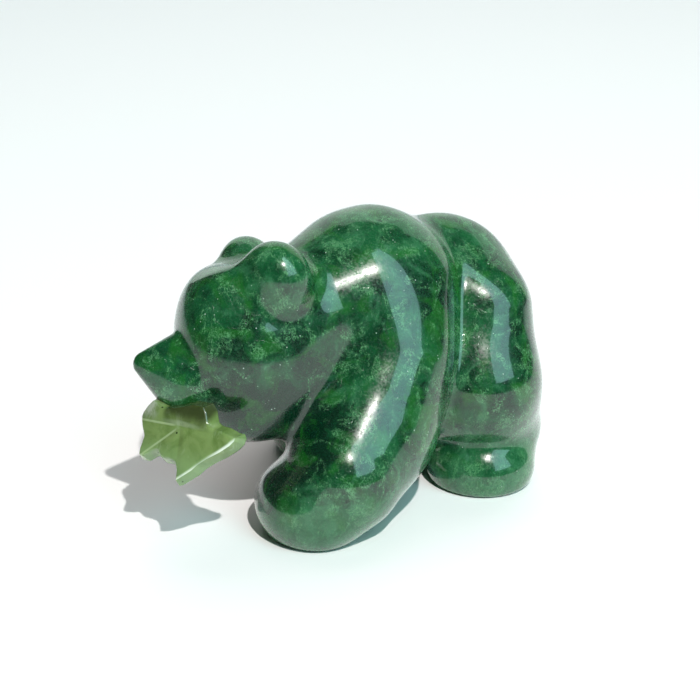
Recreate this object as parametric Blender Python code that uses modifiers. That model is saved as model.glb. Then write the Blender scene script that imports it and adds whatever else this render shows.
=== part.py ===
"""Walking bear carved in dark green nephrite jade, with a maple leaf of paler jade held in its mouth.

The bear stands on four feet and faces -Y with its head low and turned, +Z is up, and the origin is
the middle of the box of the whole carving, on the ground. Two pieces: the bear, carved from one
stone, and the leaf, whose stalk end sits in a pocket cut into the underside of the muzzle.

Every mass of the bear (hump, neck, rump, thighs, limbs, paws, skull, muzzle, ears) is a rounded
form with its own centre and radii. A form is described by how far a point lies from its skin, the
forms flow into each other over a stated blend width, and the skin of the result is the carving.
All sizes are in millimetres until the finished meshes are scaled to metres.
"""
import math

import bmesh
import bpy
import numpy as np
from mathutils import Matrix

# ---------------------------------------------------------------- sizes, millimetres and degrees
# The frame below has the head at -Y; ORIGIN is the middle of the finished box, on the ground.
ORIGIN = (0, 0.3, 0)

HUMP_C, HUMP_R = (0, 11.5, 41), (20, 12.5, 22.5)         # shoulder hump, the highest mass
NECK_A, NECK_B, NECK_R = (0, 8, 44), (0, -11, 42.7), (20, 13.3)
RUMP_C, RUMP_R, RUMP_POWER = (0, 24, 34), (12, 24.5, 25.5), 2.3

THIGH = ((14, 33, 39), (16, 29, 23.5), (13.5, 34, 11))   # hip to ankle
THIGH_R = (8.5, 13, 12)
FOOT_C, FOOT_R = (16.5, 29, 4), (13, 12.5, 10)

LIMB = ((2.5, 13, 46), (11.5, 6.5, 32.5), (14, -1, 20.5), (20.5, -12, 13.5))   # shoulder to wrist
LIMB_R = (13.5, 12.5, 14, 13)
PAW_C, PAW_R = (16.5, -18.5, 6.5), (13.5, 11, 10.5)
STRIDE, HIND_STRIDE = 25, 4                              # the right paw and foot are this far behind

HEAD_PIVOT, HEAD_TURN = (0, -20, 40), (3, -14, -13)      # nod, roll and turn of the whole head
SKULL_C, SKULL_R, SKULL_POWER = (0, -22, 38), (23.5, 16.5, 19.5), 2.6   # the head's side profile
CHEEK_C, CHEEK_R = (0, -19.7, 39), (14.5, 19.3, 24)      # and the form that rounds its cheeks
MUZZLE_A, MUZZLE_B, MUZZLE_R, MUZZLE_WIDE = (0, -33, 34.5), (0, -45.5, 39.5), (11.5, 2.8), 0.68
EAR_C, EAR_R, EAR_TURN = (9.3, -17, 53.3), (8, 6.8, 8.2), (10, 12, 30)
EAR_CUP_C, EAR_CUP_R = (-4.3, -12, 2), (6, 6, 6)         # shallow hollow in the ear's front

BLEND_NECK, BLEND_SHOULDER, BLEND_LIMB, BLEND_PAW = 1.5, 5.5, 8, 4
BLEND_THIGH, BLEND_SHANK, BLEND_FOOT = 16, 4, 2.5
BLEND_HEAD, BLEND_MUZZLE, BLEND_EAR, BLEND_CUP = 4, 0.6, 3.5, 3
BLEND_FLANK, BLEND_CHEEK = 2, 1.6                        # a crisp valley before the haunch
SOLE_EDGE = 1.0                                          # rounding where the soles meet the ground

LEAF_C, LEAF_NORMAL = (7.2, -40.4, 30.4), (0.335, -0.845, 0.415)
LEAF_THICK, LEAF_EDGE, LEAF_BEVEL = 3.4, 0.5, 0.4        # the wall leans in towards the face
LEAF_CURL_DOWN, LEAF_CURL_SIDE = 0.012, 0.006            # curl of the tips, mm per mm squared
LEAF_HEART, VEIN_DEEP, VEIN_WIDE = (-2.0, -3.5), 0.35, 1.3
LEAF_TIPS = ((-14, -4.5), (-11, -12.5), (0.5, -15.5), (12.5, -3))
LEAF_GAP = 0.3                                           # clearance of the pocket in the muzzle
LEAF_OUTLINE = (                                         # across, and up towards the stalk
    (-10.5, 1.6), (-7.0, 0.5), (-3.7, 1.5), (-0.5, 2.8), (3.2, 3.0), (4.6, 1.5), (5.5, -0.5),
    (6.5, -1.0), (8.5, -1.0), (10.5, -1.5), (12.0, -1.5), (12.7, -2.5), (12.5, -4.0),
    (11.5, -5.5), (9.5, -7.5), (7.0, -9.5), (5.5, -11.0), (4.5, -12.5),
    (3.0, -14.0), (1.5, -15.5), (0.5, -16.0), (-0.3, -15.0), (-1.0, -13.0), (-1.7, -12.0),
    (-2.5, -12.0), (-4.5, -12.2), (-5.5, -11.9), (-6.5, -11.0),
    (-7.5, -11.6), (-9.0, -12.9), (-11.0, -13.1), (-12.0, -12.0), (-12.3, -10.5), (-12.2, -8.0),
    (-13.2, -6.6), (-14.0, -5.0), (-14.3, -3.8), (-14.0, -2.4), (-13.0, -0.6), (-11.7, 1.0))

BEAR_VOXEL, LEAF_VOXEL = 1.3, 0.7                        # mesh spacing before it is thinned out
BEAR_KEEP, LEAF_KEEP = 0.19, 0.22                        # share of the triangles that is kept

JADE = ("nephrite_dark", (0.018, 0.115, 0.045), 0.12)
PALE_JADE = ("jade_pale", (0.30, 0.42, 0.12), 0.18)


# ---------------------------------------------------------------- forms
def turn(rx, ry, rz):
    """Rotation matrix: about X first, then Y, then Z, in degrees."""
    m = (Matrix.Rotation(math.radians(rz), 3, "Z") @ Matrix.Rotation(math.radians(ry), 3, "Y")
         @ Matrix.Rotation(math.radians(rx), 3, "X"))
    return np.array(m)


def ellipsoid(p, centre, radii, power=2.0, axes=None):
    """Distance of points p to the skin of an ellipsoid; a power above 2 makes it squarer."""
    q = p - np.array(centre, float)
    if axes is not None:
        q = q @ axes
    r = np.array(radii, float)
    a = np.abs(q / r) + 1e-9
    size = (a ** power).sum(1) ** (1 / power)
    slope = np.linalg.norm(a ** (power - 1) / r, axis=1) * size ** (1 - power)
    if power == 2.0:
        return size * (size - 1) / np.linalg.norm(q / r ** 2, axis=1).clip(1e-9)
    return (size - 1) / slope.clip(1e-9)


def capsule(p, a, b, ra, rb):
    """Distance to the skin of a rounded cone from a, of radius ra, to b, of radius rb."""
    a, b = np.array(a, float), np.array(b, float)
    ba = b - a
    l2 = ba @ ba
    rr = ra - rb
    a2 = l2 - rr * rr
    pa = p - a
    y = pa @ ba
    z = y - l2
    x2 = ((pa * l2 - y[:, None] * ba) ** 2).sum(1)
    y2, z2 = y * y * l2, z * z * l2
    k = np.sign(rr) * rr * rr * x2
    side = (np.sqrt(x2 * a2 / l2) + y * rr) / l2 - ra
    low = np.sqrt(x2 + y2) / l2 - ra
    high = np.sqrt(x2 + z2) / l2 - rb
    return np.where(np.sign(z) * a2 * z2 > k, high, np.where(np.sign(y) * a2 * y2 < k, low, side))


def join(a, b, width):
    """Union of two forms with a fillet."""
    h = np.maximum(width - np.abs(a - b), 0) / width
    return np.minimum(a, b) - h * h * width / 4


def common(a, b, width):
    """What two forms share, with a rounded edge."""
    return -join(-a, -b, width)


def chain(p, points, radii, width):
    """Rounded cones end to end, blended at the joints."""
    d = capsule(p, points[0], points[1], radii[0], radii[1])
    for k in range(1, len(points) - 1):
        d = join(d, capsule(p, points[k], points[k + 1], radii[k], radii[k + 1]), width)
    return d


MIRROR = np.array((-1.0, 1.0, 1.0))
HEAD_AXES = turn(*HEAD_TURN)
EAR_AXES = turn(*EAR_TURN)


def to_head(p):
    return (p - np.array(HEAD_PIVOT)) @ HEAD_AXES + np.array(HEAD_PIVOT)


def from_head(p):
    return (p - np.array(HEAD_PIVOT)) @ HEAD_AXES.T + np.array(HEAD_PIVOT)


def stride(points, back):
    """A limb's points with its last one moved back by a stride and the one above by less."""
    shares = (0,) * (len(points) - 2) + (0.4, 1)
    return [(x, y + back * share, z) for (x, y, z), share in zip(points, shares)]


def forequarters(p):
    hump = ellipsoid(p, HUMP_C, HUMP_R)
    d = join(hump, capsule(p, NECK_A, NECK_B, *NECK_R), BLEND_NECK)
    for side, back in ((p, 0), (p * MIRROR, STRIDE)):
        limb = chain(side, stride(LIMB, back), LIMB_R, BLEND_LIMB)
        paw = ellipsoid(side, (PAW_C[0], PAW_C[1] + back, PAW_C[2]), PAW_R)
        d = join(d, join(limb, paw, BLEND_PAW), BLEND_SHOULDER)
    return d


def hindquarters(p):
    d = ellipsoid(p, RUMP_C, RUMP_R, RUMP_POWER)
    for side, back in ((p, 0), (p * MIRROR, HIND_STRIDE)):
        d = join(d, chain(side, stride(THIGH, back), THIGH_R, BLEND_SHANK), BLEND_THIGH)
    for side, back in ((p, 0), (p * MIRROR, HIND_STRIDE)):
        foot = ellipsoid(side, (FOOT_C[0], FOOT_C[1] + back, FOOT_C[2]), FOOT_R)
        d = join(d, foot, BLEND_FOOT)
    return d


def head(p):
    q = to_head(p)
    skull = common(ellipsoid(q, SKULL_C, SKULL_R, SKULL_POWER) * 0.92,
                   ellipsoid(q, CHEEK_C, CHEEK_R), BLEND_CHEEK)
    muzzle = capsule(q / np.array((MUZZLE_WIDE, 1, 1)), MUZZLE_A, MUZZLE_B, *MUZZLE_R) * MUZZLE_WIDE
    d = join(skull, muzzle, BLEND_MUZZLE)
    cup = np.array(EAR_C) + EAR_AXES @ np.array(EAR_CUP_C)
    for side in (q, q * MIRROR):
        ear = ellipsoid(side, EAR_C, EAR_R, 2.0, EAR_AXES)
        ear = common(ear, -ellipsoid(side, cup, EAR_CUP_R, 2.0, EAR_AXES), BLEND_CUP)
        d = join(d, ear, BLEND_EAR)
    return d


def bear_skin(p):
    d = join(forequarters(p), head(p), BLEND_HEAD)
    d = join(d, hindquarters(p), BLEND_FLANK)
    return common(d, -p[:, 2], SOLE_EDGE)


def leaf_axes():
    """Columns: across the leaf, up towards the stalk, out of its face."""
    n = np.array(LEAF_NORMAL) / np.linalg.norm(LEAF_NORMAL)
    across = np.cross((0, 0, 1), n)
    across /= np.linalg.norm(across)
    return np.column_stack((across, np.cross(n, across), n))


def outline_distance(uv):
    """Distance to the leaf's outline in its own plane, negative inside."""
    a = np.array(LEAF_OUTLINE)
    b = np.roll(a, -1, axis=0)
    best = np.full(len(uv), 1e9)
    inside = np.zeros(len(uv), bool)
    for (ax, ay), (bx, by) in zip(a, b):
        ex, ey = bx - ax, by - ay
        wx, wy = uv[:, 0] - ax, uv[:, 1] - ay
        t = ((wx * ex + wy * ey) / (ex * ex + ey * ey)).clip(0, 1)
        best = np.minimum(best, np.hypot(wx - ex * t, wy - ey * t))
        crosses = (ay > uv[:, 1]) != (by > uv[:, 1])
        x = ax + (uv[:, 1] - ay) / (ey if ey else 1e-9) * ex
        inside ^= crosses & (uv[:, 0] < x)
    return np.where(inside, -best, best)


def leaf_bend(u, v):
    """How far the middle of the leaf stands out of its plane: the tips curl."""
    return LEAF_CURL_DOWN * np.maximum(-v - 4, 0) ** 2 - LEAF_CURL_SIDE * u ** 2


def veins(u, v):
    """Depth of the grooves that run from the leaf's heart to the tips of its lobes."""
    deep = np.zeros(len(u))
    hx, hy = LEAF_HEART
    for tx, ty in LEAF_TIPS:
        ex, ey = tx - hx, ty - hy
        t = (((u - hx) * ex + (v - hy) * ey) / (ex * ex + ey * ey)).clip(0, 0.9)
        off = np.hypot(u - hx - ex * t, v - hy - ey * t)
        deep = np.maximum(deep, VEIN_DEEP * (1 - t) * (1 - off / VEIN_WIDE).clip(0, 1))
    return deep


def leaf_skin(p):
    q = (p - np.array(LEAF_C)) @ leaf_axes()
    w = q[:, 2] - leaf_bend(q[:, 0], q[:, 1])
    edge = outline_distance(q[:, :2]) + LEAF_BEVEL * (w + LEAF_THICK / 2)
    face = np.maximum(w + veins(q[:, 0], q[:, 1]), -w) - LEAF_THICK / 2
    return common(edge, face, LEAF_EDGE)


# ---------------------------------------------------------------- meshes
def add_ball(bm, centre, radii, power=2.0, axes=None, place=None):
    """A ball scaled to a form's radii, set in its axes, and in the head's frame if place is given."""
    made = bmesh.ops.create_icosphere(bm, subdivisions=4, radius=1.0)["verts"]
    p = np.array([v.co[:] for v in made])
    p /= (np.abs(p) ** power).sum(1)[:, None] ** (1 / power)
    p *= np.array(radii, float)
    if axes is not None:
        p = p @ axes.T
    p += np.array(centre, float)
    if place is not None:
        p = place(p)
    for v, co in zip(made, p):
        v.co = co


def add_chain(bm, points, radii, beads=5):
    """Balls along a limb, close enough to make one mass."""
    for (a, b), (ra, rb) in zip(zip(points, points[1:]), zip(radii, radii[1:])):
        for t in np.linspace(0, 1, beads):
            add_ball(bm, np.array(a) * (1 - t) + np.array(b) * t, (ra * (1 - t) + rb * t,) * 3)


def bear_blank():
    """The roughed-out bear: every form as a plain ball, before the skin is carved."""
    bm = bmesh.new()
    add_ball(bm, HUMP_C, HUMP_R)
    add_chain(bm, (NECK_A, NECK_B), NECK_R)
    add_ball(bm, RUMP_C, RUMP_R, RUMP_POWER)
    for sign, back, hind_back in ((1, 0, 0), (-1, STRIDE, HIND_STRIDE)):
        add_chain(bm, [(sign * x, y, z) for x, y, z in stride(THIGH, hind_back)], THIGH_R)
        add_chain(bm, [(sign * x, y, z) for x, y, z in stride(LIMB, back)], LIMB_R)
        add_ball(bm, (sign * FOOT_C[0], FOOT_C[1] + hind_back, FOOT_C[2]), FOOT_R)
        add_ball(bm, (sign * PAW_C[0], PAW_C[1] + back, PAW_C[2]), PAW_R)
    add_ball(bm, SKULL_C, (CHEEK_R[0] - 2, *SKULL_R[1:]), SKULL_POWER, None, from_head)
    for t in np.linspace(0, 1, 7):
        r = MUZZLE_R[0] * (1 - t) + MUZZLE_R[1] * t
        at = np.array(MUZZLE_A) * (1 - t) + np.array(MUZZLE_B) * t
        add_ball(bm, at, (r * MUZZLE_WIDE, r, r), 2.0, None, from_head)
    for sign in (1, -1):
        add_ball(bm, EAR_C, EAR_R, 2.0, EAR_AXES,
                 lambda p, s=sign: from_head(p * np.array((s, 1.0, 1.0))))
    return bm


def leaf_blank():
    """The leaf's outline as a filled flat curve, given its thickness and set in its plane."""
    curve = bpy.data.curves.new("leaf_outline", "CURVE")
    curve.dimensions, curve.fill_mode, curve.extrude = "2D", "BOTH", LEAF_THICK / 2
    spline = curve.splines.new("POLY")
    spline.points.add(len(LEAF_OUTLINE) - 1)
    for point, (u, v) in zip(spline.points, LEAF_OUTLINE):
        point.co = (u, v, 0, 1)
    spline.use_cyclic_u = True
    ob = bpy.data.objects.new("leaf_outline", curve)
    bpy.context.scene.collection.objects.link(ob)
    mesh = bpy.data.meshes.new_from_object(ob.evaluated_get(bpy.context.evaluated_depsgraph_get()))
    bpy.data.objects.remove(ob)
    bm = bmesh.new()
    bm.from_mesh(mesh)
    bpy.data.meshes.remove(mesh)
    bmesh.ops.remove_doubles(bm, verts=bm.verts, dist=0.001)
    axes = leaf_axes()
    for v in bm.verts:
        u, up, w = v.co
        v.co = np.array(LEAF_C) + axes @ np.array((u, up, w + float(leaf_bend(u, up))))
    return bm


def onto_skin(p, skin, reach, rounds):
    """Moves points along the skin's slope until they lie on it."""
    eps = 0.02
    for _ in range(rounds):
        d = skin(p)
        slope = np.column_stack([(skin(p + e) - skin(p - e)) / (2 * eps) for e in np.eye(3) * eps])
        step = slope * (-d / (slope ** 2).sum(1).clip(0.05))[:, None]
        length = np.linalg.norm(step, axis=1)
        p = p + step * np.minimum(1, reach / length.clip(1e-9))[:, None]
    return p


def carve(name, blank, skin, voxel):
    """Remeshes a blank to even faces, then carves them to the skin."""
    mesh = bpy.data.meshes.new(name)
    blank.to_mesh(mesh)
    blank.free()
    ob = bpy.data.objects.new(name, mesh)
    bpy.context.scene.collection.objects.link(ob)
    remesh = ob.modifiers.new("even_faces", "REMESH")
    remesh.mode, remesh.voxel_size = "VOXEL", voxel
    even = bpy.data.meshes.new_from_object(
        ob.evaluated_get(bpy.context.evaluated_depsgraph_get()))
    bpy.data.objects.remove(ob)
    bm = bmesh.new()
    bm.from_mesh(even)
    bpy.data.meshes.remove(even)
    bmesh.ops.triangulate(bm, faces=bm.faces)
    for rounds in (8, 4, 4, 6):
        p = onto_skin(np.array([v.co[:] for v in bm.verts]), skin, voxel, rounds)
        for v, co in zip(bm.verts, p):
            v.co = co
        if rounds != 6:
            bmesh.ops.smooth_vert(bm, verts=bm.verts, factor=0.5,
                                  use_axis_x=True, use_axis_y=True, use_axis_z=True)
    for v in bm.verts:
        if abs(v.co.z) < 0.02:
            v.co.z = 0                      # the soles are flat on the ground
    out = bpy.data.meshes.new(name)
    bm.to_mesh(out)
    bm.free()
    out.transform(Matrix.Translation([-x for x in ORIGIN]))
    out.transform(Matrix.Scale(0.001, 4))
    return out


def stone(name, colour, roughness):
    mat = bpy.data.materials.new(name)
    mat.use_nodes = True
    mat.diffuse_color = (*colour, 1)
    shader = mat.node_tree.nodes["Principled BSDF"]
    shader.inputs["Base Color"].default_value = (*colour, 1)
    shader.inputs["Roughness"].default_value = roughness
    shader.inputs["Metallic"].default_value = 0
    return mat


def place(name, mesh, collection, keep):
    ob = bpy.data.objects.new(name, mesh)
    collection.objects.link(ob)
    mesh.shade_smooth()
    thin = ob.modifiers.new("fewer_faces", "DECIMATE")
    thin.ratio = keep
    return ob


def main():
    for ob in list(bpy.data.objects):
        bpy.data.objects.remove(ob)
    carving = bpy.data.collections.new("jade_bear_carving")
    cutters = bpy.data.collections.new("cutters")
    for collection in (carving, cutters):
        bpy.context.scene.collection.children.link(collection)

    bear = place("bear", carve("bear", bear_blank(), bear_skin, BEAR_VOXEL), carving, BEAR_KEEP)
    bear.data.materials.append(stone(*JADE))

    leaf = place("maple_leaf", carve("maple_leaf", leaf_blank(), leaf_skin, LEAF_VOXEL),
                 carving, LEAF_KEEP)
    leaf.data.materials.append(stone(*PALE_JADE))

    # the pocket is the leaf's own form, grown by the clearance all round
    pocket = place("pocket", carve("pocket", leaf_blank(), lambda p: leaf_skin(p) - LEAF_GAP,
                                   LEAF_VOXEL), cutters, LEAF_KEEP)
    pocket.hide_render, pocket.display_type = True, "WIRE"
    cut = bear.modifiers.new("leaf_pocket", "BOOLEAN")
    cut.operation, cut.solver, cut.object = "DIFFERENCE", "EXACT", pocket


main()
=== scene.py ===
"""A walking bear in dark green nephrite jade, its head low and turned, with a maple leaf of paler
jade held in its mouth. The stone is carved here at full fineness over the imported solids."""
import math

import bmesh
import bpy
import numpy as np
from mathutils import Matrix, Vector


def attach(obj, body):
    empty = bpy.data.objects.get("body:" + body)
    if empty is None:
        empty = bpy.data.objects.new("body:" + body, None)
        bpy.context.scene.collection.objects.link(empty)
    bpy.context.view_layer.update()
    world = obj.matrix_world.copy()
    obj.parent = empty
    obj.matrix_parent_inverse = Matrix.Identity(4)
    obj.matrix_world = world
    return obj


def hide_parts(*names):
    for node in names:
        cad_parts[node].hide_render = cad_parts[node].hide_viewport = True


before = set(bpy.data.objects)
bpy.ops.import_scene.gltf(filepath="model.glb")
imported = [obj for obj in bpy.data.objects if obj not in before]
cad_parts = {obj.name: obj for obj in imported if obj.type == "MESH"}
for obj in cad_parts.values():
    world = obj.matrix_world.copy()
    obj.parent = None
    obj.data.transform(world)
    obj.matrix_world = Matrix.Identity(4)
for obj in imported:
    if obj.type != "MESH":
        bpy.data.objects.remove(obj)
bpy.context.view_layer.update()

# ---------------------------------------------------------------- the carver's sizes, millimetres
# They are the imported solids' own sizes. The head is at -Y; ORIGIN is the middle of the box, on the ground.
ORIGIN = (0.0, 0.3, 0.0)

HUMP_C, HUMP_R = (0, 11.5, 41), (20, 12.5, 22.5)         # shoulder hump, the highest mass
NECK_A, NECK_B, NECK_R = (0, 8, 44), (0, -11, 42.7), (20, 13.3)
RUMP_C, RUMP_R, RUMP_POWER = (0, 24, 34), (12, 24.5, 25.5), 2.3

THIGH = ((14, 33, 39), (16, 29, 23.5), (13.5, 34, 11))   # hip to ankle
THIGH_R = (8.5, 13, 12)
FOOT_C, FOOT_R = (16.5, 29, 4), (13, 12.5, 10)

LIMB = ((2.5, 13, 46), (11.5, 6.5, 32.5), (14, -1, 20.5), (20.5, -12, 13.5))   # shoulder to wrist
LIMB_R = (13.5, 12.5, 14, 13)
PAW_C, PAW_R = (16.5, -18.5, 6.5), (13.5, 11, 10.5)
STRIDE, HIND_STRIDE = 25, 4                              # the right paw and foot are this far behind

HEAD_PIVOT, HEAD_TURN = (0, -20, 40), (3, -14, -13)      # nod, roll and turn of the whole head
SKULL_C, SKULL_R, SKULL_POWER = (0, -22, 38), (23.5, 16.5, 19.5), 2.6   # the head's side profile
SKULL_EASE = 0.92                                        # weight of the profile at the cheeks' edge
CHEEK_C, CHEEK_R = (0, -19.7, 39), (14.5, 19.3, 24)      # and the form that rounds its cheeks
MUZZLE_A, MUZZLE_B, MUZZLE_R, MUZZLE_WIDE = (0, -33, 34.5), (0, -45.5, 39.5), (11.5, 2.8), 0.68
EAR_C, EAR_R, EAR_TURN = (9.3, -17, 53.3), (8, 6.8, 8.2), (10, 12, 30)
EAR_CUP_C, EAR_CUP_R = (-4.3, -12, 2), (6, 6, 6)         # shallow hollow in the ear's front

BLEND_NECK, BLEND_SHOULDER, BLEND_LIMB, BLEND_PAW = 1.5, 5.5, 8, 4
BLEND_THIGH, BLEND_SHANK, BLEND_FOOT = 16, 4, 2.5
BLEND_HEAD, BLEND_MUZZLE, BLEND_EAR, BLEND_CUP = 4, 0.6, 3.5, 3
BLEND_FLANK, BLEND_CHEEK = 2, 1.6                        # a crisp valley before the haunch
SOLE_EDGE = 1.0                                          # rounding where the soles meet the ground
POLISH = 0.08                                            # the polish takes this much off the solid

LEAF_C, LEAF_NORMAL = (7.2, -40.4, 30.4), (0.335, -0.845, 0.415)
LEAF_THICK, LEAF_EDGE, LEAF_BEVEL = 3.4, 0.5, 0.4        # the wall leans in towards the face
LEAF_CURL_DOWN, LEAF_CURL_SIDE = 0.012, 0.006            # curl of the tips, mm per mm squared
LEAF_CURL_FROM = 4                                       # the lower tips curl from this far down
LEAF_HEART, VEIN_DEEP, VEIN_WIDE = (-2.0, -3.5), 0.35, 1.3
VEIN_REACH = 0.9                                         # share of the way to the tip that is cut
LEAF_TIPS = ((-14, -4.5), (-11, -12.5), (0.5, -15.5), (12.5, -3))
LEAF_OUTLINE = (                                         # across, and up towards the stalk
    (-10.5, 1.6), (-7.0, 0.5), (-3.7, 1.5), (-0.5, 2.8), (3.2, 3.0), (4.6, 1.5), (5.5, -0.5),
    (6.5, -1.0), (8.5, -1.0), (10.5, -1.5), (12.0, -1.5), (12.7, -2.5), (12.5, -4.0),
    (11.5, -5.5), (9.5, -7.5), (7.0, -9.5), (5.5, -11.0), (4.5, -12.5),
    (3.0, -14.0), (1.5, -15.5), (0.5, -16.0), (-0.3, -15.0), (-1.0, -13.0), (-1.7, -12.0),
    (-2.5, -12.0), (-4.5, -12.2), (-5.5, -11.9), (-6.5, -11.0),
    (-7.5, -11.6), (-9.0, -12.9), (-11.0, -13.1), (-12.0, -12.0), (-12.3, -10.5), (-12.2, -8.0),
    (-13.2, -6.6), (-14.0, -5.0), (-14.3, -3.8), (-14.0, -2.4), (-13.0, -0.6), (-11.7, 1.0))

BEAR_GRAIN, LEAF_GRAIN = ((0.6, 0.3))   # spacing of the carved faces
ROUGHING, FINISHING = 8, 9                               # rounds of carving before and after smoothing
SKULL_BLANK_INSET = 2                                    # the skull's blank lies this far inside the cheeks
TINY = 1e-9                                              # keeps a division off zero


# ---------------------------------------------------------------- forms
def turn(rx, ry, rz):
    """Rotation matrix: about X first, then Y, then Z, in degrees."""
    m = (Matrix.Rotation(math.radians(rz), 3, "Z") @ Matrix.Rotation(math.radians(ry), 3, "Y")
         @ Matrix.Rotation(math.radians(rx), 3, "X"))
    return np.array(m)


def ellipsoid(p, centre, radii, power=2.0, axes=None):
    """Distance of points p to the skin of an ellipsoid; a power above 2 makes it squarer."""
    q = p - np.array(centre, float)
    if axes is not None:
        q = q @ axes
    r = np.array(radii, float)
    if power == 2.0:
        size = np.linalg.norm(q / r, axis=1)
        return size * (size - 1) / np.linalg.norm(q / r ** 2, axis=1).clip(TINY)
    a = np.abs(q / r) + TINY
    size = (a ** power).sum(1) ** (1 / power)
    slope = np.linalg.norm(a ** (power - 1) / r, axis=1) * size ** (1 - power)
    return (size - 1) / slope.clip(TINY)


def capsule(p, a, b, ra, rb):
    """Distance to the skin of a rounded cone from a, of radius ra, to b, of radius rb."""
    a, b = np.array(a, float), np.array(b, float)
    ba = b - a
    l2 = ba @ ba
    rr = ra - rb
    a2 = l2 - rr * rr
    pa = p - a
    y = pa @ ba
    z = y - l2
    x2 = ((pa * l2 - y[:, None] * ba) ** 2).sum(1)
    y2, z2 = y * y * l2, z * z * l2
    k = np.sign(rr) * rr * rr * x2
    side = (np.sqrt(x2 * a2 / l2) + y * rr) / l2 - ra
    low = np.sqrt(x2 + y2) / l2 - ra
    high = np.sqrt(x2 + z2) / l2 - rb
    return np.where(np.sign(z) * a2 * z2 > k, high, np.where(np.sign(y) * a2 * y2 < k, low, side))


def join(a, b, width):
    """Union of two forms with a fillet."""
    h = np.maximum(width - np.abs(a - b), 0) / width
    return np.minimum(a, b) - h * h * width / 4


def common(a, b, width):
    """What two forms share, with a rounded edge."""
    return -join(-a, -b, width)


def chain(p, points, radii, width):
    """Rounded cones end to end, blended at the joints."""
    d = capsule(p, points[0], points[1], radii[0], radii[1])
    for k in range(1, len(points) - 1):
        d = join(d, capsule(p, points[k], points[k + 1], radii[k], radii[k + 1]), width)
    return d


MIRROR = np.array((-1.0, 1.0, 1.0))
HEAD_AXES = turn(*HEAD_TURN)
EAR_AXES = turn(*EAR_TURN)


def to_head(p):
    """Points of the bear in the frame where its head is level and straight."""
    return (p - np.array(HEAD_PIVOT)) @ HEAD_AXES + np.array(HEAD_PIVOT)


def from_head(p):
    """The way back from to_head."""
    return (p - np.array(HEAD_PIVOT)) @ HEAD_AXES.T + np.array(HEAD_PIVOT)


def stride(points, back):
    """A limb's points with its last one moved back by a stride and the one above by less."""
    shares = (0,) * (len(points) - 2) + (0.4, 1)
    return [(x, y + back * share, z) for (x, y, z), share in zip(points, shares)]


def forequarters(p):
    """Hump, neck and the two forelimbs, the right one a stride behind."""
    hump = ellipsoid(p, HUMP_C, HUMP_R)
    d = join(hump, capsule(p, NECK_A, NECK_B, *NECK_R), BLEND_NECK)
    for side, back in ((p, 0), (p * MIRROR, STRIDE)):
        limb = chain(side, stride(LIMB, back), LIMB_R, BLEND_LIMB)
        paw = ellipsoid(side, (PAW_C[0], PAW_C[1] + back, PAW_C[2]), PAW_R)
        d = join(d, join(limb, paw, BLEND_PAW), BLEND_SHOULDER)
    return d


def hindquarters(p):
    """Rump and thighs, with the hind feet joined on last so that their edge stays crisp."""
    d = ellipsoid(p, RUMP_C, RUMP_R, RUMP_POWER)
    for side, back in ((p, 0), (p * MIRROR, HIND_STRIDE)):
        d = join(d, chain(side, stride(THIGH, back), THIGH_R, BLEND_SHANK), BLEND_THIGH)
    for side, back in ((p, 0), (p * MIRROR, HIND_STRIDE)):
        foot = ellipsoid(side, (FOOT_C[0], FOOT_C[1] + back, FOOT_C[2]), FOOT_R)
        d = join(d, foot, BLEND_FOOT)
    return d


def head(p):
    """Skull, muzzle and cupped ears."""
    q = to_head(p)
    skull = common(ellipsoid(q, SKULL_C, SKULL_R, SKULL_POWER) * SKULL_EASE,
                   ellipsoid(q, CHEEK_C, CHEEK_R), BLEND_CHEEK)
    muzzle = capsule(q / np.array((MUZZLE_WIDE, 1, 1)), MUZZLE_A, MUZZLE_B, *MUZZLE_R) * MUZZLE_WIDE
    d = join(skull, muzzle, BLEND_MUZZLE)
    cup = np.array(EAR_C) + EAR_AXES @ np.array(EAR_CUP_C)
    for side in (q, q * MIRROR):
        ear = ellipsoid(side, EAR_C, EAR_R, 2.0, EAR_AXES)
        ear = common(ear, -ellipsoid(side, cup, EAR_CUP_R, 2.0, EAR_AXES), BLEND_CUP)
        d = join(d, ear, BLEND_EAR)
    return d


def bear_skin(p):
    """Distance to the whole bear's polished skin, cut off flat at the ground."""
    d = join(forequarters(p), head(p), BLEND_HEAD)
    d = join(d, hindquarters(p), BLEND_FLANK)
    return common(d + POLISH, -p[:, 2], SOLE_EDGE)


def leaf_axes():
    """Columns: across the leaf, up towards the stalk, out of its face."""
    n = np.array(LEAF_NORMAL) / np.linalg.norm(LEAF_NORMAL)
    across = np.cross((0, 0, 1), n)
    across /= np.linalg.norm(across)
    return np.column_stack((across, np.cross(n, across), n))


def outline_distance(uv):
    """Distance to the leaf's outline in its own plane, negative inside."""
    a = np.array(LEAF_OUTLINE)
    b = np.roll(a, -1, axis=0)
    best = np.full(len(uv), 1e9)
    inside = np.zeros(len(uv), bool)
    for (ax, ay), (bx, by) in zip(a, b):
        ex, ey = bx - ax, by - ay
        wx, wy = uv[:, 0] - ax, uv[:, 1] - ay
        t = ((wx * ex + wy * ey) / (ex * ex + ey * ey)).clip(0, 1)
        best = np.minimum(best, np.hypot(wx - ex * t, wy - ey * t))
        crosses = (ay > uv[:, 1]) != (by > uv[:, 1])
        x = ax + (uv[:, 1] - ay) / (ey if ey else TINY) * ex
        inside ^= crosses & (uv[:, 0] < x)
    return np.where(inside, -best, best)


def leaf_bend(u, v):
    """How far the middle of the leaf stands out of its plane: the tips curl."""
    below = (abs(v + LEAF_CURL_FROM) - (v + LEAF_CURL_FROM)) * 0.5
    return below * below * LEAF_CURL_DOWN - u * u * LEAF_CURL_SIDE


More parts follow.
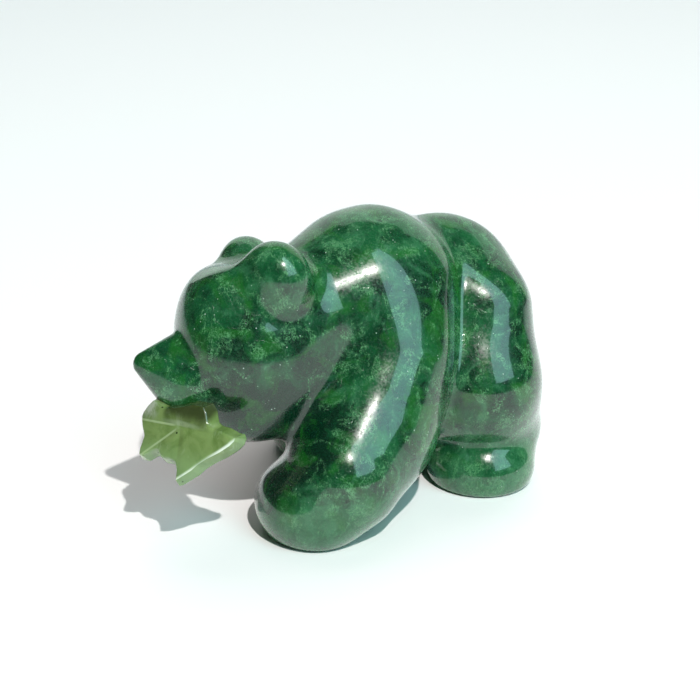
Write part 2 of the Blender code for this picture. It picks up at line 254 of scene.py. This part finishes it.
def veins(u, v):
    """Depth of the grooves that run from the leaf's heart to the tips of its lobes."""
    deep = np.zeros(len(u))
    hx, hy = LEAF_HEART
    for tx, ty in LEAF_TIPS:
        ex, ey = tx - hx, ty - hy
        t = (((u - hx) * ex + (v - hy) * ey) / (ex * ex + ey * ey)).clip(0, VEIN_REACH)
        off = np.hypot(u - hx - ex * t, v - hy - ey * t)
        deep = np.maximum(deep, VEIN_DEEP * (1 - t) * (1 - off / VEIN_WIDE).clip(0, 1))
    return deep


def leaf_skin(p):
    """Distance to the leaf's polished skin."""
    q = (p - np.array(LEAF_C)) @ leaf_axes()
    w = q[:, 2] - leaf_bend(q[:, 0], q[:, 1])
    edge = outline_distance(q[:, :2]) + LEAF_BEVEL * (w + LEAF_THICK / 2)
    face = np.maximum(w + veins(q[:, 0], q[:, 1]), -w) - LEAF_THICK / 2
    return common(edge, face, LEAF_EDGE) + POLISH


# ---------------------------------------------------------------- carving
def add_object(name, data):
    """A new object in the scene."""
    ob = bpy.data.objects.new(name, data)
    bpy.context.scene.collection.objects.link(ob)
    return ob


def finished(ob):
    """An object's mesh with its modifiers applied, ready to work on; the object is used up."""
    mesh = bpy.data.meshes.new_from_object(ob.evaluated_get(bpy.context.evaluated_depsgraph_get()))
    bpy.data.objects.remove(ob)
    bm = bmesh.new()
    bm.from_mesh(mesh)
    bpy.data.meshes.remove(mesh)
    return bm


def add_ball(bm, centre, radii, power=2.0, axes=None, place=None):
    """A ball scaled to a form's radii, set in its axes, and in the head's frame if place is given."""
    made = bmesh.ops.create_icosphere(bm, subdivisions=4, radius=1.0)["verts"]
    p = np.array([v.co[:] for v in made])
    p /= (np.abs(p) ** power).sum(1)[:, None] ** (1 / power)
    p *= np.array(radii, float)
    if axes is not None:
        p = p @ axes.T
    p += np.array(centre, float)
    if place is not None:
        p = place(p)
    for v, co in zip(made, p):
        v.co = co


def add_chain(bm, points, radii, beads=5, wide=1.0, place=None):
    """Balls along a limb, close enough to make one mass; wide stretches each of them across."""
    for (a, b), (ra, rb) in zip(zip(points, points[1:]), zip(radii, radii[1:])):
        for t in np.linspace(0, 1, beads):
            r = ra * (1 - t) + rb * t
            add_ball(bm, np.array(a) * (1 - t) + np.array(b) * t, (r * wide, r, r), place=place)


def bear_blank():
    """The roughed-out bear: every form as a plain ball, before the skin is carved."""
    bm = bmesh.new()
    add_ball(bm, HUMP_C, HUMP_R)
    add_chain(bm, (NECK_A, NECK_B), NECK_R)
    add_ball(bm, RUMP_C, RUMP_R, RUMP_POWER)
    for sign, back, hind_back in ((1, 0, 0), (-1, STRIDE, HIND_STRIDE)):
        add_chain(bm, [(sign * x, y, z) for x, y, z in stride(THIGH, hind_back)], THIGH_R)
        add_chain(bm, [(sign * x, y, z) for x, y, z in stride(LIMB, back)], LIMB_R)
        add_ball(bm, (sign * FOOT_C[0], FOOT_C[1] + hind_back, FOOT_C[2]), FOOT_R)
        add_ball(bm, (sign * PAW_C[0], PAW_C[1] + back, PAW_C[2]), PAW_R)
    skull_radii = (CHEEK_R[0] - SKULL_BLANK_INSET, *SKULL_R[1:])
    add_ball(bm, SKULL_C, skull_radii, SKULL_POWER, place=from_head)
    add_chain(bm, (MUZZLE_A, MUZZLE_B), MUZZLE_R, 7, MUZZLE_WIDE, from_head)
    add_ball(bm, EAR_C, EAR_R, axes=EAR_AXES, place=from_head)
    add_ball(bm, EAR_C, EAR_R, axes=EAR_AXES, place=lambda p: from_head(p * MIRROR))
    return bm


def leaf_blank():
    """The leaf's outline as a filled flat curve, given its thickness and set in its plane."""
    curve = bpy.data.curves.new("leaf_outline", "CURVE")
    curve.dimensions, curve.fill_mode, curve.extrude = "2D", "BOTH", LEAF_THICK / 2
    spline = curve.splines.new("POLY")
    spline.points.add(len(LEAF_OUTLINE) - 1)
    for point, (u, v) in zip(spline.points, LEAF_OUTLINE):
        point.co = (u, v, 0, 1)
    spline.use_cyclic_u = True
    bm = finished(add_object("leaf_outline", curve))
    bmesh.ops.remove_doubles(bm, verts=bm.verts, dist=0.001)
    axes = leaf_axes()
    for v in bm.verts:
        u, up, w = v.co
        v.co = np.array(LEAF_C) + axes @ np.array((u, up, w + float(leaf_bend(u, up))))
    return bm


def onto_skin(p, skin, reach, rounds):
    """Moves points along the skin's slope until they lie on it."""
    feel, least_slope = 0.02, 0.05
    for _ in range(rounds):
        d = skin(p)
        slope = np.column_stack([(skin(p + e) - d) / feel for e in np.eye(3) * feel])
        step = slope * (-d / (slope ** 2).sum(1).clip(least_slope))[:, None]
        length = np.linalg.norm(step, axis=1)
        p = p + step * np.minimum(1, reach / length.clip(TINY))[:, None]
    return p


def carve_round(bm, skin, reach, rounds):
    """Carves every vertex of a bmesh towards the skin."""
    p = onto_skin(np.array([v.co[:] for v in bm.verts]), skin, reach, rounds)
    for v, co in zip(bm.verts, p):
        v.co = co


def carve(name, blank, skin, grain):
    """Remeshes a blank to even faces, then carves them to the skin. Returns the finished piece."""
    rough = bpy.data.meshes.new(name + "_blank")
    blank.to_mesh(rough)
    blank.free()
    ob = add_object(name + "_blank", rough)
    remesh = ob.modifiers.new("even_faces", "REMESH")
    remesh.mode, remesh.voxel_size = "VOXEL", grain
    bm = finished(ob)
    bpy.data.meshes.remove(rough)
    carve_round(bm, skin, 2 * grain, ROUGHING)
    bmesh.ops.smooth_vert(bm, verts=bm.verts, factor=0.5,
                          use_axis_x=True, use_axis_y=True, use_axis_z=True)
    carve_round(bm, skin, 2 * grain, FINISHING)
    stone = bpy.data.meshes.new(name)
    bm.to_mesh(stone)
    bm.free()
    stone.transform(Matrix.Translation([-x for x in ORIGIN]))
    stone.transform(Matrix.Scale(0.001, 4))
    stone.shade_smooth()
    return add_object(name, stone)


# ---------------------------------------------------------------- finishes
class Amount:
    """A number that varies over the stone; sums and products of it add Math nodes."""

    def __init__(self, nodes, socket):
        self.nodes, self.socket = nodes, socket

    def _math(self, operation, *values):
        node = self.nodes.node("ShaderNodeMath", {"operation": operation}, dict(enumerate(values)))
        return Amount(self.nodes, node.outputs[0])

    def __add__(self, other):
        return self._math("ADD", self, other)

    def __radd__(self, other):
        return self._math("ADD", other, self)

    def __sub__(self, other):
        return self._math("SUBTRACT", self, other)

    def __rsub__(self, other):
        return self._math("SUBTRACT", other, self)

    def __mul__(self, other):
        return self._math("MULTIPLY", self, other)

    def __rmul__(self, other):
        return self._math("MULTIPLY", other, self)

    def __truediv__(self, other):
        return self._math("DIVIDE", self, other)

    def __pow__(self, other):
        return self._math("POWER", self, other)

    def __abs__(self):
        return self._math("ABSOLUTE", self)


class Nodes:
    """A node tree, built up one node at a time."""

    def __init__(self, tree):
        self.tree = tree

    def node(self, kind, settings=None, inputs=None):
        """Adds a node, with its settings first and then what its sockets hold."""
        node = self.tree.nodes.new(kind)
        for key, value in (settings or {}).items():
            setattr(node, key, value)
        for key, value in (inputs or {}).items():
            self.feed(node.inputs[key], value)
        return node

    def feed(self, socket, value):
        """Links an amount or a socket, or sets a plain number or colour."""
        if isinstance(value, Amount):
            value = value.socket
        if isinstance(value, bpy.types.NodeSocket):
            self.tree.links.new(value, socket)
        elif socket.type == "RGBA" and len(value) == 3:
            socket.default_value = (*value, 1)
        else:
            socket.default_value = value

    def step(self, amount, low, high, low_value=0.0, high_value=1.0):
        """Smooth step of an amount between low and high."""
        node = self.node("ShaderNodeMapRange", {"interpolation_type": "SMOOTHSTEP"}, {
            "Value": amount, "From Min": low, "From Max": high,
            "To Min": low_value, "To Max": high_value})
        return Amount(self, node.outputs["Result"])

    def blend(self, share, a, b):
        """Colour a, turning into b as share goes from 0 to 1."""
        node = self.node("ShaderNodeMix", {"data_type": "RGBA"}, {"Factor": share})
        for key, value in (("A", a), ("B", b)):
            self.feed([s for s in node.inputs if s.name == key and s.type == "RGBA"][0], value)
        return [s for s in node.outputs if s.type == "RGBA"][0]


class Finish(Nodes):
    """One material, built from nodes on the piece's own coordinates in millimetres."""

    def __init__(self, name):
        self.material = bpy.data.materials.new(name)
        self.material.use_nodes = True
        super().__init__(self.material.node_tree)
        self.shader = self.tree.nodes["Principled BSDF"]
        metres = self.node("ShaderNodeTexCoord").outputs["Object"]
        self.mm = self.node("ShaderNodeMapping", {}, {
            "Vector": metres, "Scale": (1000, 1000, 1000)}).outputs["Vector"]

    def placed(self, move=(0, 0, 0), spin=(0, 0, 0), stretch=(1, 1, 1)):
        """The piece's coordinates moved, turned (degrees) and stretched."""
        return self.node("ShaderNodeMapping", {}, {
            "Vector": self.mm, "Location": move,
            "Rotation": [math.radians(a) for a in spin], "Scale": stretch}).outputs["Vector"]

    def along(self, way):
        """Millimetres from the origin along a direction."""
        node = self.node("ShaderNodeVectorMath", {"operation": "DOT_PRODUCT"}, {0: self.mm, 1: way})
        return Amount(self, node.outputs["Value"])

    def away(self, point):
        """Millimetres from a point."""
        node = self.node("ShaderNodeVectorMath", {"operation": "DISTANCE"}, {0: self.mm, 1: point})
        return Amount(self, node.outputs["Value"])

    def noise(self, size, detail=2.0, rough=0.5, twist=0.0, **place):
        """Cloudy variation with lumps of about this size in millimetres, 0 to 1."""
        node = self.node("ShaderNodeTexNoise", {}, {
            "Vector": self.placed(**place) if place else self.mm, "Scale": 1 / size,
            "Detail": detail, "Roughness": rough, "Distortion": twist})
        return Amount(self, node.outputs["Fac"])

    def fibres(self, size, thin, twist=1.0, **place):
        """Fine curved lines: 1 on a line, 0 a little away from it."""
        return self.step(abs(self.noise(size, 1.5, 0.5, twist, **place) - 0.5), thin, 0.0)

    def dots(self, size, low, high, **place):
        """Scattered dots about this far apart, their radii in cell widths."""
        node = self.node("ShaderNodeTexVoronoi", {}, {
            "Vector": self.placed(**place), "Scale": 1 / size})
        return self.step(Amount(self, node.outputs["Distance"]), high, low)

    def bump(self, height, depth, under=None):
        """Relief of the given depth in millimetres."""
        inputs = {"Height": height, "Distance": depth / 1000}
        if under is not None:
            inputs["Normal"] = under
        return self.node("ShaderNodeBump", {}, inputs).outputs["Normal"]

    def set(self, **values):
        """Sets the shader's sockets; underscores stand for spaces."""
        for key, value in values.items():
            self.feed(self.shader.inputs[key.replace("_", " ")], value)


# the bear's stone, from its depths out to its flecks
DEEP_GREEN, FRESH_GREEN, WARM_GREEN = (0.0014, 0.021, 0.009), (0.008, 0.092, 0.030), (0.012, 0.120, 0.014)
MILKY_GREEN, WISP_GREEN, CURL_GREEN = (0.045, 0.190, 0.085), (0.11, 0.32, 0.16), (0.13, 0.36, 0.16)
FLECK_WHITE = (0.62, 0.76, 0.66)
PAINTED_SHEEN_TOP, PAINTED_FLOOR_BOUNCE = (48, 62), (22, 4)                        # painted light: heights over which the stone is painted paler, as sheen towards the top and as floor bounce towards the ground
THROAT_SHADE_C, THROAT_SHADE_REACH = (9, -24, 20), (20, 9)           # painted shade: where the stone is painted darker under the jaw, and how far from there it fades
STROKES = (((20, 60, 10), (14, 2, 60)), ((75, 10, 40), (3, 50, 8)), ((65, 20, 80), (22, 9, 31)))

# the leaf's stone
LEAF_SHADE, LEAF_LIGHT, STREAK_PALE = (0.120, 0.200, 0.052), (0.205, 0.305, 0.100), (0.36, 0.47, 0.26)
LOBE_GREEN, LOBE_WHITE, VEIN_PALE = (0.20, 0.33, 0.15), (0.44, 0.48, 0.40), (0.50, 0.62, 0.36)
# the olive is painted shadow from the muzzle on the leaf's top; the rim white is a painted highlight on its
# lower-right edge
MUZZLE_SHADOW_OLIVE, RIM_HIGHLIGHT_WHITE, SPOT_DARK = (0.030, 0.042, 0.012), (0.80, 0.88, 0.76), (0.015, 0.02, 0.012)


def nephrite():
    """Dark green jade: cloudy depths, milky patches, feathery wisps, white flecks, high polish; with painted
    light, paler at the top and near the ground, and painted shade, darker under the jaw.
    """
    f = Finish("nephrite_polished")
    height = f.along((0, 0, 1))
    # painted light: paler towards the top where the sheen lies and towards the ground where the floor's
    # light bounces up
    painted_sheen_and_bounce = f.step(height, *PAINTED_SHEEN_TOP) * 0.06 + f.step(height, *PAINTED_FLOOR_BOUNCE) * 0.14
    # painted shade: darker stone under the jaw and throat, where the cheek faces the shaded paw
    throat_shade = f.step(f.away(THROAT_SHADE_C), *THROAT_SHADE_REACH)

    clouds = f.noise(12, 3, 0.5, 0.6, move=(3, 8, 1))
    mottle = f.noise(4.5, 7, 0.58, 1.0, move=(20, 4, 9))
    # the painted light and the painted shade under the jaw also shift the depths, the milky patches, the
    # wisps and the curls
    depth = mottle * 0.55 + clouds * 0.45 + painted_sheen_and_bounce - throat_shade * 0.3
    stone = f.blend(f.step(depth, 0.36, 0.66), DEEP_GREEN, FRESH_GREEN)
    warm = f.step(f.noise(7, 5, 0.6, 0.8, move=(31, 12, 5)), 0.48, 0.66)
    stone = f.blend(warm * 0.65, stone, WARM_GREEN)
    milky = f.noise(6, 7, 0.66, 1.0, move=(7, 40, 2)) + painted_sheen_and_bounce - throat_shade * 0.2
    stone = f.blend(f.step(milky, 0.52, 0.72) * 0.55, stone, MILKY_GREEN)

    wisps = 0
    for spin, move in STROKES:                           # short feathery strokes, in patches
        fine = f.noise(0.8, 5, 0.65, 1.5, move=move, spin=spin, stretch=(1, 1, 0.45))
        patch = f.noise(6, 7, 0.7, 1.2, move=move) + painted_sheen_and_bounce * 0.5 - throat_shade * 0.2
        wisps = wisps + f.step(fine, 0.50, 0.68) * f.step(patch, 0.52, 0.68)
    stone = f.blend(f.step(wisps, 0, 1) * 0.4, stone, WISP_GREEN)
    curls = (f.fibres(1.2, 0.045, 2.0, move=(6, 1, 3))
             + f.fibres(0.8, 0.05, 1.5, move=(2, 7, 5), spin=(40, 25, 60), stretch=(1, 1, 0.6)))
    curly = f.step(f.noise(5, 6, 0.68, 1.0, move=(11, 30, 6)) - throat_shade * 0.1, 0.48, 0.60)
    stone = f.blend(f.step(curls * curly, 0, 1.2) * 0.7, stone, CURL_GREEN)
    sparse = f.step(f.noise(4, 3, 0.6, move=(40, 0, 0)), 0.50, 0.62)
    flecks = f.dots(1.3, 0.05, 0.12, move=(5, 5, 5)) * sparse
    stone = f.blend(flecks * 0.9, stone, FLECK_WHITE)

    waves = f.bump(f.noise(6, 2, 0.5, move=(9, 9, 9)), 0.10)
    nicks = f.bump(flecks + f.fibres(7, 0.004, 0.4, move=(2, 3, 4)) * 0.5, -0.03, waves)
    f.set(Base_Color=stone, Roughness=f.step(f.noise(0.6, 3, 0.6), 0.35, 0.65, 0.16, 0.32),
          IOR=1.6, Specular_IOR_Level=0.25, Normal=nicks,
          Subsurface_Weight=0.2, Subsurface_Radius=(0.4, 1.0, 0.5), Subsurface_Scale=0.002,
          Coat_Weight=1.0, Coat_Roughness=0.03, Coat_IOR=1.5)
    return f.material


def pale_jade():
    """Yellow-green translucent jade of the leaf: painted shadow of the muzzle in dark olive across the top
    by the stalk, pale at the outer lobe, and a painted highlight along the lower-right rim.
    """
    f = Finish("leaf_jade")
    axes = leaf_axes()
    centre = (np.array(LEAF_C) - ORIGIN) @ axes
    u, v, w = (f.along(axes[:, k]) - float(centre[k]) for k in range(3))

    clouds = f.noise(5, 5, 0.55, 0.6)
    stone = f.blend(f.step(clouds, 0.34, 0.66), LEAF_SHADE, LEAF_LIGHT)
    streaks = f.noise(2.2, 4, 0.65, 0.6, spin=(0, 35, 20), stretch=(1, 1, 0.25))
    stone = f.blend(f.step(streaks, 0.54, 0.70) * 0.35, stone, STREAK_PALE)
    lobes = f.step(v, -6, -12) * 0.5 + f.step(u, 9, 13) * 0.4
    stone = f.blend(lobes, stone, LOBE_GREEN)
    outer_lobe = f.step(u, -7.5, -10.5) * f.step(v, -5, -2) * f.step(streaks, 0.35, 0.60)
    stone = f.blend(outer_lobe * 0.8, stone, LOBE_WHITE)

    heart_u, heart_v = u - LEAF_HEART[0], v - LEAF_HEART[1]
    for tip in LEAF_TIPS[:2]:                            # the veins of the lobes on the bear's right
        run = (Vector(tip) - Vector(LEAF_HEART)).normalized()
        beside = abs(heart_u * run.y - heart_v * run.x)
        beyond = heart_u * run.x + heart_v * run.y
        vein = f.step(beside, 0.32, 0.12) * f.step(beyond, 0.5, 2.5)
        stone = f.blend(vein * 0.5, stone, VEIN_PALE)
    # painted shadow: dark olive across the top of the leaf by the stalk, where the muzzle shades it
    muzzle_shadow = f.step(v + f.noise(2, 3, 0.6) * 2, -2.6, 0.8) * f.step(u, -8, -6) * f.step(u, 5, 4)
    stone = f.blend(muzzle_shadow * 0.9, stone, MUZZLE_SHADOW_OLIVE)

    # painted highlight: a pale line along the top of the wall on the lower-right edge, where the bevel
    # catches the light
    level = w - leaf_bend(u, v)
    wall_top = f.step(level, 1.10, 1.25) * f.step(level, 1.64, 1.54)
    rim_highlight = wall_top * f.step(u * 0.72 - v * 0.69, 10, 10.8)
    stone = f.blend(rim_highlight * 0.9, stone, RIM_HIGHLIGHT_WHITE)
    sparse = f.step(f.noise(7, 2, 0.5, move=(12, 0, 9)), 0.44, 0.54)
    spots = f.dots(2.6, 0.06, 0.12, move=(1, 2, 3)) * sparse
    stone = f.blend(spots * 0.9, stone, SPOT_DARK)
    f.set(Base_Color=stone, Roughness=0.2, IOR=1.6, Subsurface_Weight=0.35,
          Subsurface_Radius=(0.8, 1.0, 0.4), Subsurface_Scale=0.0012,
          Coat_Weight=0.6, Coat_Roughness=0.05)
    return f.material


# ---------------------------------------------------------------- the two pieces
bear = carve("bear_stone", bear_blank(), bear_skin, BEAR_GRAIN)
bear.data.materials.append(nephrite())
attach(bear, "root")
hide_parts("bear")

leaf = carve("leaf_stone", leaf_blank(), leaf_skin, LEAF_GRAIN)
leaf.data.materials.append(pale_jade())
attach(leaf, "root")
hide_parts("maple_leaf")


# ---------------------------------------------------------------- floor, light and camera
def direction(azimuth, elevation):
    """Unit vector; azimuth 0 is the bear's front, 90 its left side."""
    a, e = math.radians(azimuth), math.radians(elevation)
    return Vector((math.sin(a) * math.cos(e), -math.cos(a) * math.cos(e), math.sin(e)))


BEAR_MIDDLE = Vector((0, 0, 0.03))


def area_light(name, toward, distance, size, shape, watts, colour):
    """A lamp shining at the bear from a direction."""
    lamp = bpy.data.lights.new(name, "AREA")
    lamp.shape, lamp.size = shape, size
    lamp.energy, lamp.color = watts, colour
    ob = add_object(name, lamp)
    ob.location = BEAR_MIDDLE + toward * distance
    ob.rotation_euler = toward.to_track_quat("Z", "Y").to_euler()
    return ob


floor_grid = bmesh.new()
bmesh.ops.create_grid(floor_grid, x_segments=1, y_segments=1, size=3.0)
floor_mesh = bpy.data.meshes.new("floor")
floor_grid.to_mesh(floor_mesh)
floor_grid.free()
floor = add_object("floor", floor_mesh)
pale = Finish("floor_white")
pale.set(Base_Color=(0.9, 0.9, 0.9), Roughness=0.7)
floor.data.materials.append(pale.material)

area_light("sun", direction(74, 53), 1.2, 0.03, "DISK", 12.6, (1, 0.96, 0.93))
fill = area_light("ceiling", direction(230, 58), 1.2, 1.0, "SQUARE", 6.4, (1.0, 0.88, 0.89))
fill.visible_glossy = False

# the room: a pale wall behind the bear on its right, a tall window on its left, the rest dark
ROOM_DARK, WALL_PALE, WINDOW_SKY = (0.035, 0.035, 0.035), (0.60, 0.70, 0.65), (1.7, 3.1, 3.2)
SIDE_SOFT, END_SOFT = 0.004, 0.01                        # softness of a panel's edges
world = bpy.data.worlds.new("studio")
bpy.context.scene.world = world
world.use_nodes = True
room = Nodes(world.node_tree)
parts = room.node("ShaderNodeSeparateXYZ", {}, {
    "Vector": room.node("ShaderNodeTexCoord").outputs["Generated"]})
x, y, z = (Amount(room, parts.outputs[k]) for k in range(3))
flat = (x * x + y * y) ** 0.5


def panel(azimuth, half_width, low, high):
    """1 inside an upright panel of the room, 0 outside; all in degrees."""
    out = direction(azimuth, 0)
    facing = (x * out[0] + y * out[1]) / flat
    side = math.cos(math.radians(half_width))
    low, high = math.sin(math.radians(low)), math.sin(math.radians(high))
    return (room.step(facing, side - SIDE_SOFT, side + SIDE_SOFT) * room.step(z, low - END_SOFT, low)
            * room.step(z, high + END_SOFT, high))


light = room.blend(panel(222.5, 39.5, -5, 50), ROOM_DARK, WALL_PALE)
light = room.blend(panel(101, 20, 18, 73), light, WINDOW_SKY)
room.feed(world.node_tree.nodes["Background"].inputs["Color"], light)

LOOK_AT, AWAY, TO_CAMERA = Vector((0.0019, 0.0024, 0.0327)), 0.400, direction(55, 22)
camera = add_object("camera", bpy.data.cameras.new("camera"))
camera.data.lens, camera.data.sensor_width = 92.2, 36
camera.data.clip_start = 0.01
camera.location = LOOK_AT + TO_CAMERA * AWAY
camera.rotation_euler = TO_CAMERA.to_track_quat("Z", "Y").to_euler()
bpy.context.scene.camera = camera
bpy.context.scene.view_settings.view_transform = "Standard"
